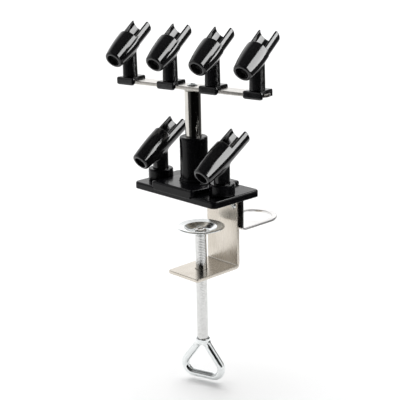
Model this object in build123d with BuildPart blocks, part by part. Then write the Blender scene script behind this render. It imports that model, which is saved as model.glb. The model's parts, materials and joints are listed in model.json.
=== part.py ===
"""Bench-clamp holder for six pen-shaped tools.

A folded steel clamp carries a moulded base, a chrome mast and a flat bar. Four cradles ride on
clips on the bar and two more stand in sockets on the base. A ring bracket hangs behind the clamp.

Frame: millimetres, +Z up. The origin is on the upper jaw face, which lies on the bench top, under
the mast's axis. +X runs along the base and +Y points to the clamp's back plate.
"""

import math
import os

from build123d import *

os.makedirs("parts", exist_ok=True)

# ---------------------------------------------------------------- driving dimensions

# folded steel clamp
sheet = 3.0
bracket_width = 37.8
jaw_front_y = -17.1
back_plate_y = 32.5
jaw_height = 68.8
bend_inner_radius = 1.2

# moulded base
base_length = 101.0
base_width = 55.5
base_centre_y = 1.3
base_thickness = 6.1
base_corner_radius = 5.0
base_edge_radius = 1.0

# saddle and mast sleeve
saddle_length = 51.0
saddle_front_thickness = 5.4
saddle_rear_thickness = 3.0
saddle_lip_drop = 2.3
saddle_lip_thickness = 1.2
sleeve_radius = 12.1
sleeve_top_z = 53.0
sleeve_foot_radius = 13.0
sleeve_foot_height = 2.0
sleeve_edge_radius = 0.9
saddle_corner_radius = 2.5
saddle_edge_radius = 0.8
saddle_lip_inset = 2.5

# mast
mast_radius = 7.0
mast_wall = 1.2
mast_top_z = 93.0
mast_plug_length = 15.0
washer_radius = 7.0
washer_thickness = 0.7

# top bar, turned about the mast
bar_yaw = 10.3
bar_length = 152.0
bar_width = 15.7
bar_screw_radius = 2.5
bar_screw_head_radius = 4.6
bar_screw_head_height = 1.8
bar_screw_reach = 12.0
bar_screw_head_edge = 1.2
bar_edge_chamfer = 0.3

# clips on the bar
clip_pitch = 44.1
clip_count = 4
clip_width = 18.6
clip_tongue_width = 13.6
clip_plate_thickness = 2.3
clip_wall = 1.95
clip_rear_wall = 4.2
clip_front_depth = 7.2
clip_front_drop = 4.2
clip_rear_drop = 3.8
clip_nib = 1.4
clip_corner_radius = 1.8
clip_tongue_corner = 2.2
clip_peg_radius = 4.0
clip_peg_length = 13.0
stem_offset_y = -1.7

# cradles
cradle_tilt = 33.0
bore_radius = 7.9
nose_bore_radius = 5.4
nose_bore_length = 5.0
bore_cone_length = 7.0
arm_edge_height = 4.0
mouth_edge_radius = 0.9
belly_hollow = 0.35

upper_axis_height = 31.0
upper_mouth_reach = 26.6
upper_arm_reach = 21.8
upper_slot_length = 20.6
upper_mouth_radius = 8.1
upper_belly_radius = 10.1
upper_arm_radius = 9.6
upper_stem_foot_radius = 6.6
upper_stem_top_radius = 6.1

lower_axis_height = 34.4
lower_mouth_reach = 28.6
lower_arm_reach = 26.6
lower_slot_length = 20.5
lower_mouth_radius = 8.2
lower_belly_radius = 10.1
lower_stem_radius = 6.9

# sockets for the lower cradles
socket_x = 38.3
socket_y = -4.6
socket_radius = 11.0
socket_height = 10.4
socket_edge_radius = 0.8

# ring bracket
ring_sheet = 2.5
ring_width = 44.2
ring_centre_y = 73.0
ring_hole_radius = 17.0
ring_plate_top_z = -34.3
ring_leg_top_z = 2.5
ring_screw_x = 15.0
ring_screw_z = -13.5
ring_screw_radius = 1.5
ring_screw_head_radius = 2.8
ring_screw_head_height = 1.8
ring_screw_head_edge = 1.0
ring_screw_spare = 1.5
ring_nut_flats = 5.5
ring_nut_height = 2.4

# clamp screw, cup foot and handle
screw_axis_y = 6.0
screw_radius = 5.0
screw_end_z = -138.0
neck_radius = 3.2
swage_radius = 5.2
swage_height = 1.9
swage_side = 0.95
swage_crown = 1.2
screw_shoulder_chamfer = 0.8
screw_hole_play = 0.4
nut_flats = 17.0
nut_height = 5.0
cup_rim_z = -28.9
cup_rim_radius = 21.2
cup_lip_width = 6.4
cup_lip_rise = 1.0
cup_depth = 4.9
cup_floor_radius = 8.5
cup_sheet = 1.2
cup_edge = 0.35
cup_wall_shift = 0.55
cup_collar_radius = 6.4
cup_collar_height = 1.0
hub_width = 12.6
hub_depth = 11.2
hub_top_z = -134.6
hub_bottom_z = -141.0
hub_corner_radius = 4.5
hub_edge_radius = 1.5
handle_heading = 16.4
handle_wire_radius = 3.5
handle_bottom_z = -175.0
handle_corner_x = 26.9
handle_leg_x = 3.4
handle_corner_radius = 8.5
handle_leg_sink = 1.5
handle_trim = 40.0

# fasteners and fits
fit = 0.05
play = 0.1
base_screw_x = 12.0
base_screw_front_y = -11.0
base_screw_rear_y = 21.0
base_screw_radius = 2.0
base_screw_head_radius = 3.8
base_screw_head_height = 1.8
base_screw_length = 11.0
base_screw_tip = 1.0

# ---------------------------------------------------------------- places

base_bottom_z = sheet
base_top_z = base_bottom_z + base_thickness
sleeve_floor_z = base_top_z + saddle_front_thickness
bar_bottom_z = mast_top_z + washer_thickness
bar_top_z = bar_bottom_z + sheet
ring_bend_y = back_plate_y + sheet
cup_floor_z = cup_rim_z - cup_depth

base_plane = Plane((0, base_centre_y, base_bottom_z))
bar_plane = Plane((0, 0, bar_bottom_z)).rotated((0, 0, bar_yaw))
side_plane = Plane(origin=(0, 0, 0), x_dir=(0, 1, 0), z_dir=(1, 0, 0))
screw_plane = Plane(origin=(0, screw_axis_y, 0), x_dir=(1, 0, 0), z_dir=(0, -1, 0))
screw_axis = Axis((0, screw_axis_y, 0), (0, 0, 1))
handle_turn = math.radians(handle_heading)
handle_x_dir = (math.cos(handle_turn), math.sin(handle_turn), 0)
handle_z_dir = (math.sin(handle_turn), -math.cos(handle_turn), 0)
handle_plane = Plane(origin=(0, screw_axis_y, 0), x_dir=handle_x_dir, z_dir=handle_z_dir)

base_screw_ys = (base_screw_front_y, base_screw_rear_y)
base_screw_spots = [(x, y) for x in (-base_screw_x, base_screw_x) for y in base_screw_ys]
ring_screw_spots = [(-ring_screw_x, ring_screw_z), (ring_screw_x, ring_screw_z)]


def finish(part, name):
    """Label a finished piece and write it as its own file."""
    part.label = name
    export_step(part, f"parts/{name}.step")


def seat_on(plane, x, y, z):
    """A plane parallel to the given one, with its origin at local x, y, z."""
    return Plane(origin=plane.from_local_coords((x, y, z)), x_dir=plane.x_dir, z_dir=plane.z_dir)


# ---------------------------------------------------------------- clamp bracket and its nut

outer_bend_radius = bend_inner_radius + sheet

with BuildPart() as clamp_bracket:
    with BuildSketch(side_plane) as profile:
        with BuildLine():
            Polyline(
                (jaw_front_y, 0),
                (back_plate_y, 0),
                (back_plate_y, -jaw_height),
                (jaw_front_y, -jaw_height),
                (jaw_front_y, -jaw_height - sheet),
                (back_plate_y + sheet, -jaw_height - sheet),
                (back_plate_y + sheet, sheet),
                (jaw_front_y, sheet),
                close=True,
            )
        make_face()
        fillet(profile.vertices().group_by(Axis.X)[-2], bend_inner_radius)
        fillet(profile.vertices().group_by(Axis.X)[-1], outer_bend_radius)
    extrude(amount=bracket_width / 2, both=True)
    with BuildSketch(Plane.XY.offset(-jaw_height)):
        with Locations((0, screw_axis_y)):
            Circle(screw_radius + screw_hole_play)
    extrude(amount=-sheet, mode=Mode.SUBTRACT)
    with Locations(*[Location((x, y, 0), (180, 0, 0)) for x, y in base_screw_spots]):
        CounterSinkHole(base_screw_radius + play, base_screw_head_radius + play, sheet)
    with BuildSketch(Plane(origin=(0, back_plate_y, 0), x_dir=(1, 0, 0), z_dir=(0, -1, 0))):
        with Locations(*ring_screw_spots):
            Circle(ring_screw_radius + play)
    extrude(amount=-sheet, mode=Mode.SUBTRACT)
finish(clamp_bracket.part, "clamp_bracket")

with BuildPart() as clamp_nut:
    with BuildSketch(Plane((0, screw_axis_y, -jaw_height - sheet))):
        RegularPolygon(nut_flats / 2, 6, major_radius=False)
        Circle(screw_radius + fit, mode=Mode.SUBTRACT)
    extrude(amount=-nut_height)
finish(clamp_nut.part, "clamp_nut")

# ---------------------------------------------------------------- moulded base, saddle, screws

with BuildPart() as base_plate:
    with BuildSketch(base_plane):
        RectangleRounded(base_length, base_width, base_corner_radius)
    extrude(amount=base_thickness)
    fillet(base_plate.faces().sort_by(Axis.Z)[-1].edges(), base_edge_radius)
    with BuildSketch(Plane.XY.offset(base_bottom_z)):
        with Locations(*base_screw_spots):
            Circle(base_screw_radius + play)
    extrude(amount=base_thickness, mode=Mode.SUBTRACT)
finish(base_plate.part, "base_plate")

saddle_depth = base_width + 2 * saddle_lip_thickness

saddle_front_y = base_centre_y - saddle_depth / 2
saddle_rear_y = base_centre_y + saddle_depth / 2

with BuildPart() as mast_saddle:
    with BuildSketch(side_plane):
        with BuildLine():
            Polyline(
                (saddle_front_y, base_top_z),
                (saddle_rear_y, base_top_z),
                (saddle_rear_y, base_top_z + saddle_rear_thickness),
                (saddle_front_y, base_top_z + saddle_front_thickness),
                close=True,
            )
        make_face()
    extrude(amount=saddle_length / 2, both=True)
    fillet(mast_saddle.edges().filter_by(Axis.Z), saddle_corner_radius)
    fillet(mast_saddle.faces().sort_by(Axis.Z)[-1].edges(), saddle_edge_radius)
    lip_y = base_width / 2 + saddle_lip_thickness / 2 + fit
    with BuildSketch(base_plane.offset(base_thickness - saddle_lip_drop)):
        with Locations((0, lip_y), (0, -lip_y)):
            Rectangle(saddle_length - 2 * saddle_lip_inset, saddle_lip_thickness - 2 * fit)
    extrude(amount=saddle_lip_drop)
    with BuildSketch(Plane.XY.offset(base_top_z)):
        Circle(sleeve_foot_radius)
    extrude(amount=sleeve_floor_z + sleeve_foot_height - base_top_z)
    chamfer(mast_saddle.faces().sort_by(Axis.Z)[-1].edges(), saddle_edge_radius)
    with BuildSketch(Plane.XY.offset(base_top_z)):
        Circle(sleeve_radius)
    extrude(amount=sleeve_top_z - base_top_z)
    fillet(mast_saddle.faces().sort_by(Axis.Z)[-1].edges(), sleeve_edge_radius)
    with BuildSketch(Plane.XY.offset(sleeve_floor_z)):
        Circle(mast_radius)
    extrude(amount=sleeve_top_z - sleeve_floor_z, mode=Mode.SUBTRACT)
    with BuildSketch(Plane.XY.offset(base_top_z)):
        with Locations(*base_screw_spots):
            Circle(base_screw_radius)
    extrude(amount=base_screw_length - base_top_z + play, mode=Mode.SUBTRACT)
finish(mast_saddle.part, "mast_saddle")

with BuildPart() as base_screws:
    for spot_x, spot_y in base_screw_spots:
        meridian = Plane(origin=(spot_x, spot_y, 0), x_dir=(1, 0, 0), z_dir=(0, -1, 0))
        with BuildSketch(meridian):
            with BuildLine():
                Polyline(
                    (0, 0),
                    (base_screw_head_radius, 0),
                    (base_screw_radius, base_screw_head_height),
                    (base_screw_radius, base_screw_length - base_screw_tip),
                    (base_screw_radius - base_screw_tip, base_screw_length),
                    (0, base_screw_length),
                    close=True,
                )
            make_face()
        revolve(axis=Axis((spot_x, spot_y, 0), (0, 0, 1)))
finish(base_screws.part, "base_screws")

# ---------------------------------------------------------------- mast, plug, washer, bar screw

with BuildPart() as mast_tube:
    with BuildSketch(Plane.XY.offset(sleeve_floor_z)):
        Circle(mast_radius)
        Circle(mast_radius - mast_wall, mode=Mode.SUBTRACT)
    extrude(amount=mast_top_z - sleeve_floor_z)
finish(mast_tube.part, "mast_tube")

with BuildPart() as mast_plug:
    with BuildSketch(Plane.XY.offset(mast_top_z)):
        Circle(mast_radius - mast_wall)
        Circle(bar_screw_radius, mode=Mode.SUBTRACT)
    extrude(amount=-mast_plug_length)
finish(mast_plug.part, "mast_plug")

with BuildPart() as bar_washer:
    with BuildSketch(Plane.XY.offset(mast_top_z)):
        Circle(washer_radius)
        Circle(bar_screw_radius + play, mode=Mode.SUBTRACT)
    extrude(amount=washer_thickness)
finish(bar_washer.part, "bar_washer")

with BuildPart() as bar_screw:
    with BuildSketch(Plane.XY.offset(bar_top_z + fit)):
        Circle(bar_screw_head_radius)
    extrude(amount=bar_screw_head_height)
    fillet(bar_screw.faces().sort_by(Axis.Z)[-1].edges(), bar_screw_head_edge)
    with BuildSketch(Plane.XY.offset(mast_top_z - bar_screw_reach)):
        Circle(bar_screw_radius)
    extrude(amount=bar_top_z + fit - mast_top_z + bar_screw_reach)
finish(bar_screw.part, "bar_screw")

with BuildPart() as top_bar:
    with BuildSketch(bar_plane.offset(fit)):
        SlotOverall(bar_length, bar_width)
        Circle(bar_screw_radius + fit, mode=Mode.SUBTRACT)
    extrude(amount=sheet - fit)
    chamfer(top_bar.faces().sort_by(Axis.Z)[-1].outer_wire().edges(), bar_edge_chamfer)
finish(top_bar.part, "top_bar")


# ---------------------------------------------------------------- clips and cradles


def make_clip(seat):
    """A moulded clip around the bar. The seat is on the bar's top face, with x along the bar."""
    half_bar = bar_width / 2 + fit
    front_y = -half_bar - clip_wall
    rear_y = half_bar + clip_rear_wall
    front_nib_depth = clip_wall + clip_nib
    rear_nib_depth = clip_rear_wall + clip_nib
    front_nib_height = clip_front_drop - sheet - fit
    rear_nib_height = clip_rear_drop - sheet - fit
    front_origin = seat.from_local_coords((0, front_y, 0))
    front = Plane(origin=front_origin, x_dir=seat.x_dir, z_dir=seat.y_dir * -1)
    with BuildPart() as clip:
        with BuildSketch(front) as plate:
            with Locations((0, fit + clip_plate_thickness / 2)):
                Rectangle(clip_width, clip_plate_thickness)
            fillet(plate.vertices().group_by(Axis.Y)[-1], clip_corner_radius)
        extrude(amount=-clip_front_depth)
        with BuildSketch(front) as lip:
            with Locations((0, (fit - clip_front_drop) / 2)):
                Rectangle(clip_width, clip_front_drop + fit)
            fillet(lip.vertices().group_by(Axis.Y)[0], clip_corner_radius)
        extrude(amount=-clip_wall)
        with BuildSketch(front):
            with Locations((0, front_nib_height / 2 - clip_front_drop)):
                Rectangle(clip_width - 2 * clip_corner_radius, front_nib_height)
        extrude(amount=-front_nib_depth)
        with BuildSketch(seat.offset(fit)) as tongue:
            with Locations((0, (front_y + clip_front_depth + rear_y) / 2)):
                Rectangle(clip_tongue_width, rear_y - front_y - clip_front_depth)
            fillet(tongue.vertices().group_by(Axis.Y)[-1], clip_tongue_corner)
        extrude(amount=clip_plate_thickness)
        with BuildSketch(seat.offset(-clip_rear_drop)) as hook:
            with Locations((0, rear_y - clip_rear_wall / 2)):
                Rectangle(clip_tongue_width, clip_rear_wall)
            fillet(hook.vertices().group_by(Axis.Y)[-1], clip_tongue_corner)
        extrude(amount=clip_rear_drop + fit)
        with BuildSketch(seat.offset(-clip_rear_drop)):
            with Locations((0, rear_y - rear_nib_depth / 2)):
                Rectangle(clip_tongue_width - 2 * clip_tongue_corner, rear_nib_depth)
        extrude(amount=rear_nib_height)
        with BuildSketch(seat.offset(clip_plate_thickness + fit)):
            with Locations((0, stem_offset_y)):
                Circle(clip_peg_radius)
        extrude(amount=clip_peg_length)
    return clip.part


def make_cradle(seat, axis_height, mouth_reach, arm_reach, slot_length, mouth_radius,
                belly_radius, arm_radius, stem_foot_radius, stem_top_radius, peg_depth):
    """A tilted tube on a round stem, open at the top behind its slot. y of the seat runs to the arms."""
    tilt = math.radians(cradle_tilt)
    along = seat.y_dir * math.cos(tilt) + seat.z_dir * math.sin(tilt)
    tube_centre = seat.from_local_coords((0, 0, axis_height))
    tube = Plane(origin=tube_centre, x_dir=along, z_dir=seat.x_dir)
    tube_axis = Axis(tube.origin, tube.x_dir)
    slot_start = arm_reach - slot_length
    mouth = -mouth_reach
    stem_taper = math.degrees(math.atan2(stem_foot_radius - stem_top_radius, axis_height))
    mouth_edge_sag = mouth_edge_radius * (1 - math.sqrt(0.5))
    with BuildPart() as cradle:
        with BuildSketch(tube):
            with BuildLine():
                lip = ThreePointArc(
                    (mouth, mouth_radius - mouth_edge_radius),
                    (mouth + mouth_edge_sag, mouth_radius - mouth_edge_sag),
                    (mouth + mouth_edge_radius, mouth_radius),
                )
                belly = ThreePointArc(
                    lip @ 1,
                    ((mouth + slot_start) / 2, belly_radius - belly_hollow),
                    (slot_start, belly_radius),
                )
                step = [(slot_start, arm_radius)] if arm_radius < belly_radius else []
                arm_end = [(arm_reach, arm_radius), (arm_reach, 0)]
                Polyline(belly @ 1, *step, *arm_end, (mouth, 0), lip @ 0)
            make_face()
        revolve(axis=tube_axis)
        with BuildSketch(seat):
            Circle(stem_foot_radius)
        extrude(amount=axis_height, taper=stem_taper)
        with BuildSketch(tube):
            with BuildLine():
                Polyline(
                    (mouth, 0),
                    (mouth, nose_bore_radius),
                    (mouth + nose_bore_length, nose_bore_radius),
                    (mouth + nose_bore_length + bore_cone_length, bore_radius),
                    (arm_reach, bore_radius),
                    (arm_reach, 0),
                    close=True,
                )
            make_face()
        revolve(axis=tube_axis, mode=Mode.SUBTRACT)
        with BuildSketch(tube):
            with Locations((slot_start + slot_length, arm_edge_height + arm_radius)):
                Rectangle(2 * slot_length, 2 * arm_radius)
        extrude(amount=2 * arm_radius, both=True, mode=Mode.SUBTRACT)
        if peg_depth > 0:
            with BuildSketch(seat):
                Circle(clip_peg_radius + fit)
            extrude(amount=peg_depth, mode=Mode.SUBTRACT)
    return cradle.part


bar_top_plane = bar_plane.offset(sheet)

for index in range(clip_count):
    clip_x = (index - (clip_count - 1) / 2) * clip_pitch
    clip_seat = seat_on(bar_top_plane, clip_x, 0, 0)
    finish(make_clip(clip_seat), f"clip_{index + 1}")
    stem_seat = seat_on(bar_top_plane, clip_x, stem_offset_y, clip_plate_thickness + fit + play)
    upper_cradle = make_cradle(
        stem_seat,
        upper_axis_height,
        upper_mouth_reach,
        upper_arm_reach,
        upper_slot_length,
        upper_mouth_radius,
        upper_belly_radius,
        upper_arm_radius,
        upper_stem_foot_radius,
        upper_stem_top_radius,
        clip_peg_length + play,
    )
    finish(upper_cradle, f"cradle_{index + 1}")

# ---------------------------------------------------------------- sockets and lower cradles

for side, name in ((-1, "left"), (1, "right")):
    socket_seat = Plane((side * socket_x, socket_y, base_top_z))
    with BuildPart() as socket:
        with BuildSketch(socket_seat):
            Circle(socket_radius)
        extrude(amount=socket_height)
        fillet(socket.faces().sort_by(Axis.Z)[-1].edges(), socket_edge_radius)
        with BuildSketch(socket_seat):
            Circle(lower_stem_radius + fit)
        extrude(amount=socket_height, mode=Mode.SUBTRACT)
    finish(socket.part, f"socket_{name}")
    lower_cradle = make_cradle(
        socket_seat.offset(play),
        lower_axis_height,
        lower_mouth_reach,
        lower_arm_reach,
        lower_slot_length,
        lower_mouth_radius,
        lower_belly_radius,
        lower_belly_radius,
        lower_stem_radius,
        lower_stem_radius,
        0,
    )
    finish(lower_cradle, f"cradle_lower_{name}")

# ---------------------------------------------------------------- ring bracket and its fasteners

with BuildPart() as ring_bracket:
    with BuildSketch(Plane.XY.offset(ring_plate_top_z)):
        with Locations((0, (ring_bend_y + ring_centre_y) / 2)):
            Rectangle(ring_width, ring_centre_y - ring_bend_y)
        with Locations((0, ring_centre_y)):
            Circle(ring_width / 2)
    extrude(amount=-ring_sheet)
    with BuildSketch(Plane(origin=(0, ring_bend_y, 0), x_dir=(1, 0, 0), z_dir=(0, -1, 0))):
        with Locations((0, (ring_leg_top_z + ring_plate_top_z - ring_sheet) / 2)):
            Rectangle(ring_width, ring_leg_top_z - ring_plate_top_z + ring_sheet)
    extrude(amount=-ring_sheet)
    bend_corner = ring_bracket.edges().filter_by(Axis.X).group_by(Axis.Z)[0].sort_by(Axis.Y)[0]
    fillet(bend_corner, ring_sheet)
    with BuildSketch(Plane.XY.offset(ring_plate_top_z)):
        with Locations((0, ring_centre_y)):
            Circle(ring_hole_radius)
    extrude(amount=-ring_sheet, mode=Mode.SUBTRACT)
    with BuildSketch(Plane(origin=(0, ring_bend_y, 0), x_dir=(1, 0, 0), z_dir=(0, -1, 0))):
        with Locations(*ring_screw_spots):
            Circle(ring_screw_radius + play)
    extrude(amount=-ring_sheet, mode=Mode.SUBTRACT)
finish(ring_bracket.part, "ring_bracket")

ring_screw_length = sheet + ring_sheet + ring_nut_height + ring_screw_spare

with BuildPart() as ring_screws:
    for spot in ring_screw_spots:
        head_plane = Plane(origin=(0, back_plate_y, 0), x_dir=(1, 0, 0), z_dir=(0, -1, 0))
        with BuildSketch(head_plane):
            with Locations(spot):
                Circle(ring_screw_head_radius)
        extrude(amount=ring_screw_head_height)
        with BuildSketch(head_plane):
            with Locations(spot):
                Circle(ring_screw_radius)
        extrude(amount=-ring_screw_length)
    fillet(ring_screws.faces().group_by(Axis.Y)[0].edges(), ring_screw_head_edge)
finish(ring_screws.part, "ring_screws")

with BuildPart() as ring_nuts:
    nut_plane = Plane(origin=(0, ring_bend_y + ring_sheet, 0), x_dir=(1, 0, 0), z_dir=(0, -1, 0))
    with BuildSketch(nut_plane):
        with Locations(*ring_screw_spots):
            RegularPolygon(ring_nut_flats / 2, 6, major_radius=False)
            Circle(ring_screw_radius, mode=Mode.SUBTRACT)
    extrude(amount=-ring_nut_height)
finish(ring_nuts.part, "ring_nuts")

# ---------------------------------------------------------------- cup foot, screw and handle

with BuildPart() as foot_cup:
    with BuildSketch(screw_plane):
        with BuildLine():
            Polyline(
                (neck_radius + fit, cup_floor_z),
                (cup_floor_radius, cup_floor_z),
                (cup_rim_radius - cup_lip_width, cup_rim_z - cup_lip_rise),
                (cup_rim_radius - cup_edge, cup_rim_z),
                (cup_rim_radius, cup_rim_z - cup_edge),
                (cup_rim_radius, cup_rim_z - cup_sheet),
                (cup_rim_radius - cup_lip_width + cup_wall_shift, cup_rim_z - cup_lip_rise - cup_sheet),
                (cup_floor_radius + cup_wall_shift, cup_floor_z - cup_sheet),
                (cup_collar_radius, cup_floor_z - cup_sheet),
                (cup_collar_radius, cup_floor_z - cup_sheet - cup_collar_height),
                (neck_radius + fit, cup_floor_z - cup_sheet - cup_collar_height),
                close=True,
            )
        make_face()
    revolve(axis=screw_axis)
finish(foot_cup.part, "foot_cup")

shoulder_z = cup_floor_z - cup_sheet - cup_collar_height - play
swage_bottom_z = cup_floor_z + play

with BuildPart() as clamp_screw:
    with BuildSketch(screw_plane):
        with BuildLine():
            Polyline(
                (0, screw_end_z),
                (screw_radius, screw_end_z),
                (screw_radius, shoulder_z - screw_shoulder_chamfer),
                (screw_radius - screw_shoulder_chamfer, shoulder_z),
                (neck_radius, shoulder_z),
                (neck_radius, swage_bottom_z),
                (swage_radius, swage_bottom_z),
                (swage_radius, swage_bottom_z + swage_side),
                (swage_radius - swage_crown, swage_bottom_z + swage_height),
                (0, swage_bottom_z + swage_height),
                close=True,
            )
        make_face()
    revolve(axis=screw_axis)
finish(clamp_screw.part, "clamp_screw")

handle_wire_z = handle_bottom_z + handle_wire_radius
leg_start_z = hub_bottom_z + handle_leg_sink

with BuildPart() as handle_loop:
    with BuildLine(handle_plane) as path:
        FilletPolyline(
            (handle_leg_x, leg_start_z),
            (handle_corner_x, handle_wire_z),
            (-handle_corner_x, handle_wire_z),
            (-handle_leg_x, leg_start_z),
            radius=handle_corner_radius,
        )
    with BuildSketch(Plane(origin=path.wires()[0] @ 0, z_dir=path.wires()[0] % 0)):
        Circle(handle_wire_radius)
    sweep(path=path.wires()[0])
    with BuildSketch(Plane.XY.offset(hub_bottom_z)):
        with Locations((0, screw_axis_y)):
            Rectangle(handle_trim, handle_trim)
    extrude(amount=handle_trim, mode=Mode.SUBTRACT)
finish(handle_loop.part, "handle_loop")

with BuildPart() as handle_hub:
    with BuildSketch(Plane(origin=(0, screw_axis_y, hub_bottom_z), x_dir=handle_x_dir)):
        RectangleRounded(hub_width, hub_depth, hub_corner_radius)
    extrude(amount=hub_top_z - hub_bottom_z)
    fillet(handle_hub.faces().sort_by(Axis.Z)[-1].edges(), hub_edge_radius)
    with BuildSketch(Plane((0, screw_axis_y, screw_end_z))):
        Circle(screw_radius)
    extrude(amount=hub_top_z - screw_end_z, mode=Mode.SUBTRACT)
finish(handle_hub.part, "handle_hub")
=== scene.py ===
import json
import math

import bpy
import numpy as np
from mathutils import Matrix, Vector

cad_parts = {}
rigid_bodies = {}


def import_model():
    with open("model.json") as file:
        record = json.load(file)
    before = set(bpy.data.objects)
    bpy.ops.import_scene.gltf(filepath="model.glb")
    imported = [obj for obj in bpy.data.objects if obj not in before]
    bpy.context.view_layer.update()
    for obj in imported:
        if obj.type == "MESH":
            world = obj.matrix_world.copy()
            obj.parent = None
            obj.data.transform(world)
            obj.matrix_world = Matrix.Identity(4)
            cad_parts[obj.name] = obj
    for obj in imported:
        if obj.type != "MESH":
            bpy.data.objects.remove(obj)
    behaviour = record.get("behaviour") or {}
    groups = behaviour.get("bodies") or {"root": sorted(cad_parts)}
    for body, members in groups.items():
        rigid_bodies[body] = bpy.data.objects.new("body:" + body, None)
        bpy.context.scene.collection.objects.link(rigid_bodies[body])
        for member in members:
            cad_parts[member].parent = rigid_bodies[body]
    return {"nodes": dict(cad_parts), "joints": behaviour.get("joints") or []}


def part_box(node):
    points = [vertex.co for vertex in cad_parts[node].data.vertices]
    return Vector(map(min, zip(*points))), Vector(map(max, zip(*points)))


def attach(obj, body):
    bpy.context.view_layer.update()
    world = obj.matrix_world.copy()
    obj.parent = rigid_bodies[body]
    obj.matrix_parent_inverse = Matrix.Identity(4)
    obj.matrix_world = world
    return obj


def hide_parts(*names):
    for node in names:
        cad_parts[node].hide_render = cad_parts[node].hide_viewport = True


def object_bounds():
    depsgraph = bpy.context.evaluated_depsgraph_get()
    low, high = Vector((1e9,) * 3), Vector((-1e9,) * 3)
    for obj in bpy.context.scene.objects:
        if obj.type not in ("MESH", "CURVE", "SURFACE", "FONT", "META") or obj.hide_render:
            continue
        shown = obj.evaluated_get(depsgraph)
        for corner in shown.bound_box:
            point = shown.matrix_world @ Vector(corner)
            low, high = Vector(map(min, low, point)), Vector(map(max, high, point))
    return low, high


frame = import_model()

cad_low, cad_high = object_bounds()
MM = 0.001
joints = {joint["name"]: joint for joint in frame["joints"]}


# ---------------------------------------------------------------- places read from the frame, in mm

def node_box(name):
    """Lowest and highest corner of a CAD node, in mm."""
    low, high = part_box(name)
    return np.array(low) / MM, np.array(high) / MM


def joint_place(name):
    """A joint's place at rest, in mm."""
    return np.array(joints[name]["pos_m"]) / MM


bar_direction = Vector(joints["clip_1_slide"]["axis"])
bar_yaw = math.atan2(bar_direction.y, bar_direction.x)

# ---------------------------------------------------------------- sizes, in mm

fit = 0.05

# sheet metal
sheet = 3.0
bend_radius = 2.7
flange_corner = 2.6
screw_hole_radius = 5.4
base_screw_x = 12.0
base_screw_ys = (-11.0, 21.0)
countersink_radius = 3.9
countersink_depth = 1.8
ring_sheet = 2.5
ring_hole_radius = 17.0
ring_inner_bend = 1.6
ring_outer_bend = 5.0
ring_screw_x = 15.0
ring_screw_z = -13.5

# base, saddle and sleeve
base_corner = 5.0
base_edge = 1.9
saddle_front_thickness = 5.4
saddle_rear_thickness = 3.0
saddle_corner = 2.5
saddle_edge = 2.0
sleeve_radius = 12.1
sleeve_foot_radius = 13.0
sleeve_foot_height = 2.0
mast_radius = 7.0
mast_wall = 1.2

# clips
clip_half_width = 9.3
clip_tongue_half_width = 6.8
clip_plate_thickness = 2.3
clip_wall = 1.95
clip_rear_wall = 4.2
clip_front_depth = 7.2
clip_front_drop = 4.2
clip_rear_drop = 3.8
clip_corner = 1.6
clip_tongue_corner = 2.2
clip_tongue_overlap = 4.0
clip_rear_rounding = 3.0
clip_nib = 1.4
clip_front_nib_inset = 1.8
clip_rear_nib_inset = 2.2
clip_peg_radius = 4.0
clip_peg_length = 13.0
clip_peg_edge = 0.4
stem_offset_y = -1.7
bar_half_width = 7.85
bar_half_length = 75.98

# cradles
tilt = math.radians(33.0)
bore_radius = 7.9
nose_bore_radius = 5.4
nose_bore_length = 5.0
bore_cone_length = 7.0
arm_edge_height = 4.0
peg_bore_depth = 13.1
mouth_edge = 0.9
belly_fall = 0.35
lower_cradle_lift = 0.1
upper_cradle = dict(
    axis_height=31.0, mouth_reach=26.6, arm_reach=21.8, slot_length=20.6, mouth_radius=8.1,
    belly_radius=10.1, arm_radius=9.6, stem_foot_radius=6.6, stem_top_radius=6.1, peg=True,
)
lower_cradle = dict(
    axis_height=34.4, mouth_reach=28.6, arm_reach=26.6, slot_length=20.5, mouth_radius=8.2,
    belly_radius=10.1, arm_radius=10.1, stem_foot_radius=6.9, stem_top_radius=6.9, peg=False,
)

# sockets
socket_radius = 11.0
socket_height = 10.4
socket_bore_radius = 6.95

# screw, cup and handle
screw_radius = 5.0
screw_chamfer = 0.8
screw_shoulder = 1.2
thread_pitch = 1.5
thread_depth = 0.045
thread_groove_share = 0.55
thread_fade = 2.0
neck_radius = 3.2
swage_radius = 5.2
swage_height = 1.9
cup_sheet = 1.2
cup_lip_width = 6.4
cup_lip_fall = 1.0
cup_bowl_curve = 1.35
cup_floor_radius = 8.5
cup_collar_radius = 6.4
cup_collar_height = 1.0
nut_flats = 17.0
nut_chamfer_start = 0.53
handle_heading = math.radians(16.4)
handle_wire_radius = 3.5
handle_corner_radius = 8.5
handle_corner_x = 26.9
handle_leg_x = 3.4
handle_leg_start = 1.5
wire_overlap = 2.0
hub_half = (6.3, 5.6, 3.2)
hub_corner = 4.4
hub_edge = 1.8

# fasteners
ring_screw = dict(radius=2.8, height=1.8, shank_radius=1.5, shank_length=9.3)
base_screw = dict(radius=3.8, height=1.8, shank_radius=2.0, shank_length=10.95, countersunk=True)
bar_screw = dict(radius=4.6, height=1.8, shank_radius=2.5, shank_length=15.7)
screw_margin = 0.1
ring_nut_flats = 5.5
ring_nut_reach = 3.2
ring_nut_height = 2.4
ring_nut_bore = 1.5

# mesh steps
base_step = 0.6
body_step = 0.5
bar_and_handle_step = 0.45
cradle_step = 0.42
clip_and_socket_step = 0.36
cup_and_nut_step = 0.35
large_screw_step = 0.22
small_screw_step = 0.2


# ---------------------------------------------------------------- distance fields

def length(*parts):
    """The length of a vector from its parts."""
    return np.sqrt(sum(part * part for part in parts))


def smooth_min(a, b, reach):
    """The lower of two distances, with a fillet of about this reach."""
    overlap = np.maximum(reach - np.abs(a - b), 0) / reach
    return np.minimum(a, b) - overlap * overlap * reach / 4


def smooth_max(a, b, reach):
    """The higher of two distances, with a round edge of about this reach."""
    return -smooth_min(-a, -b, reach)


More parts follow.
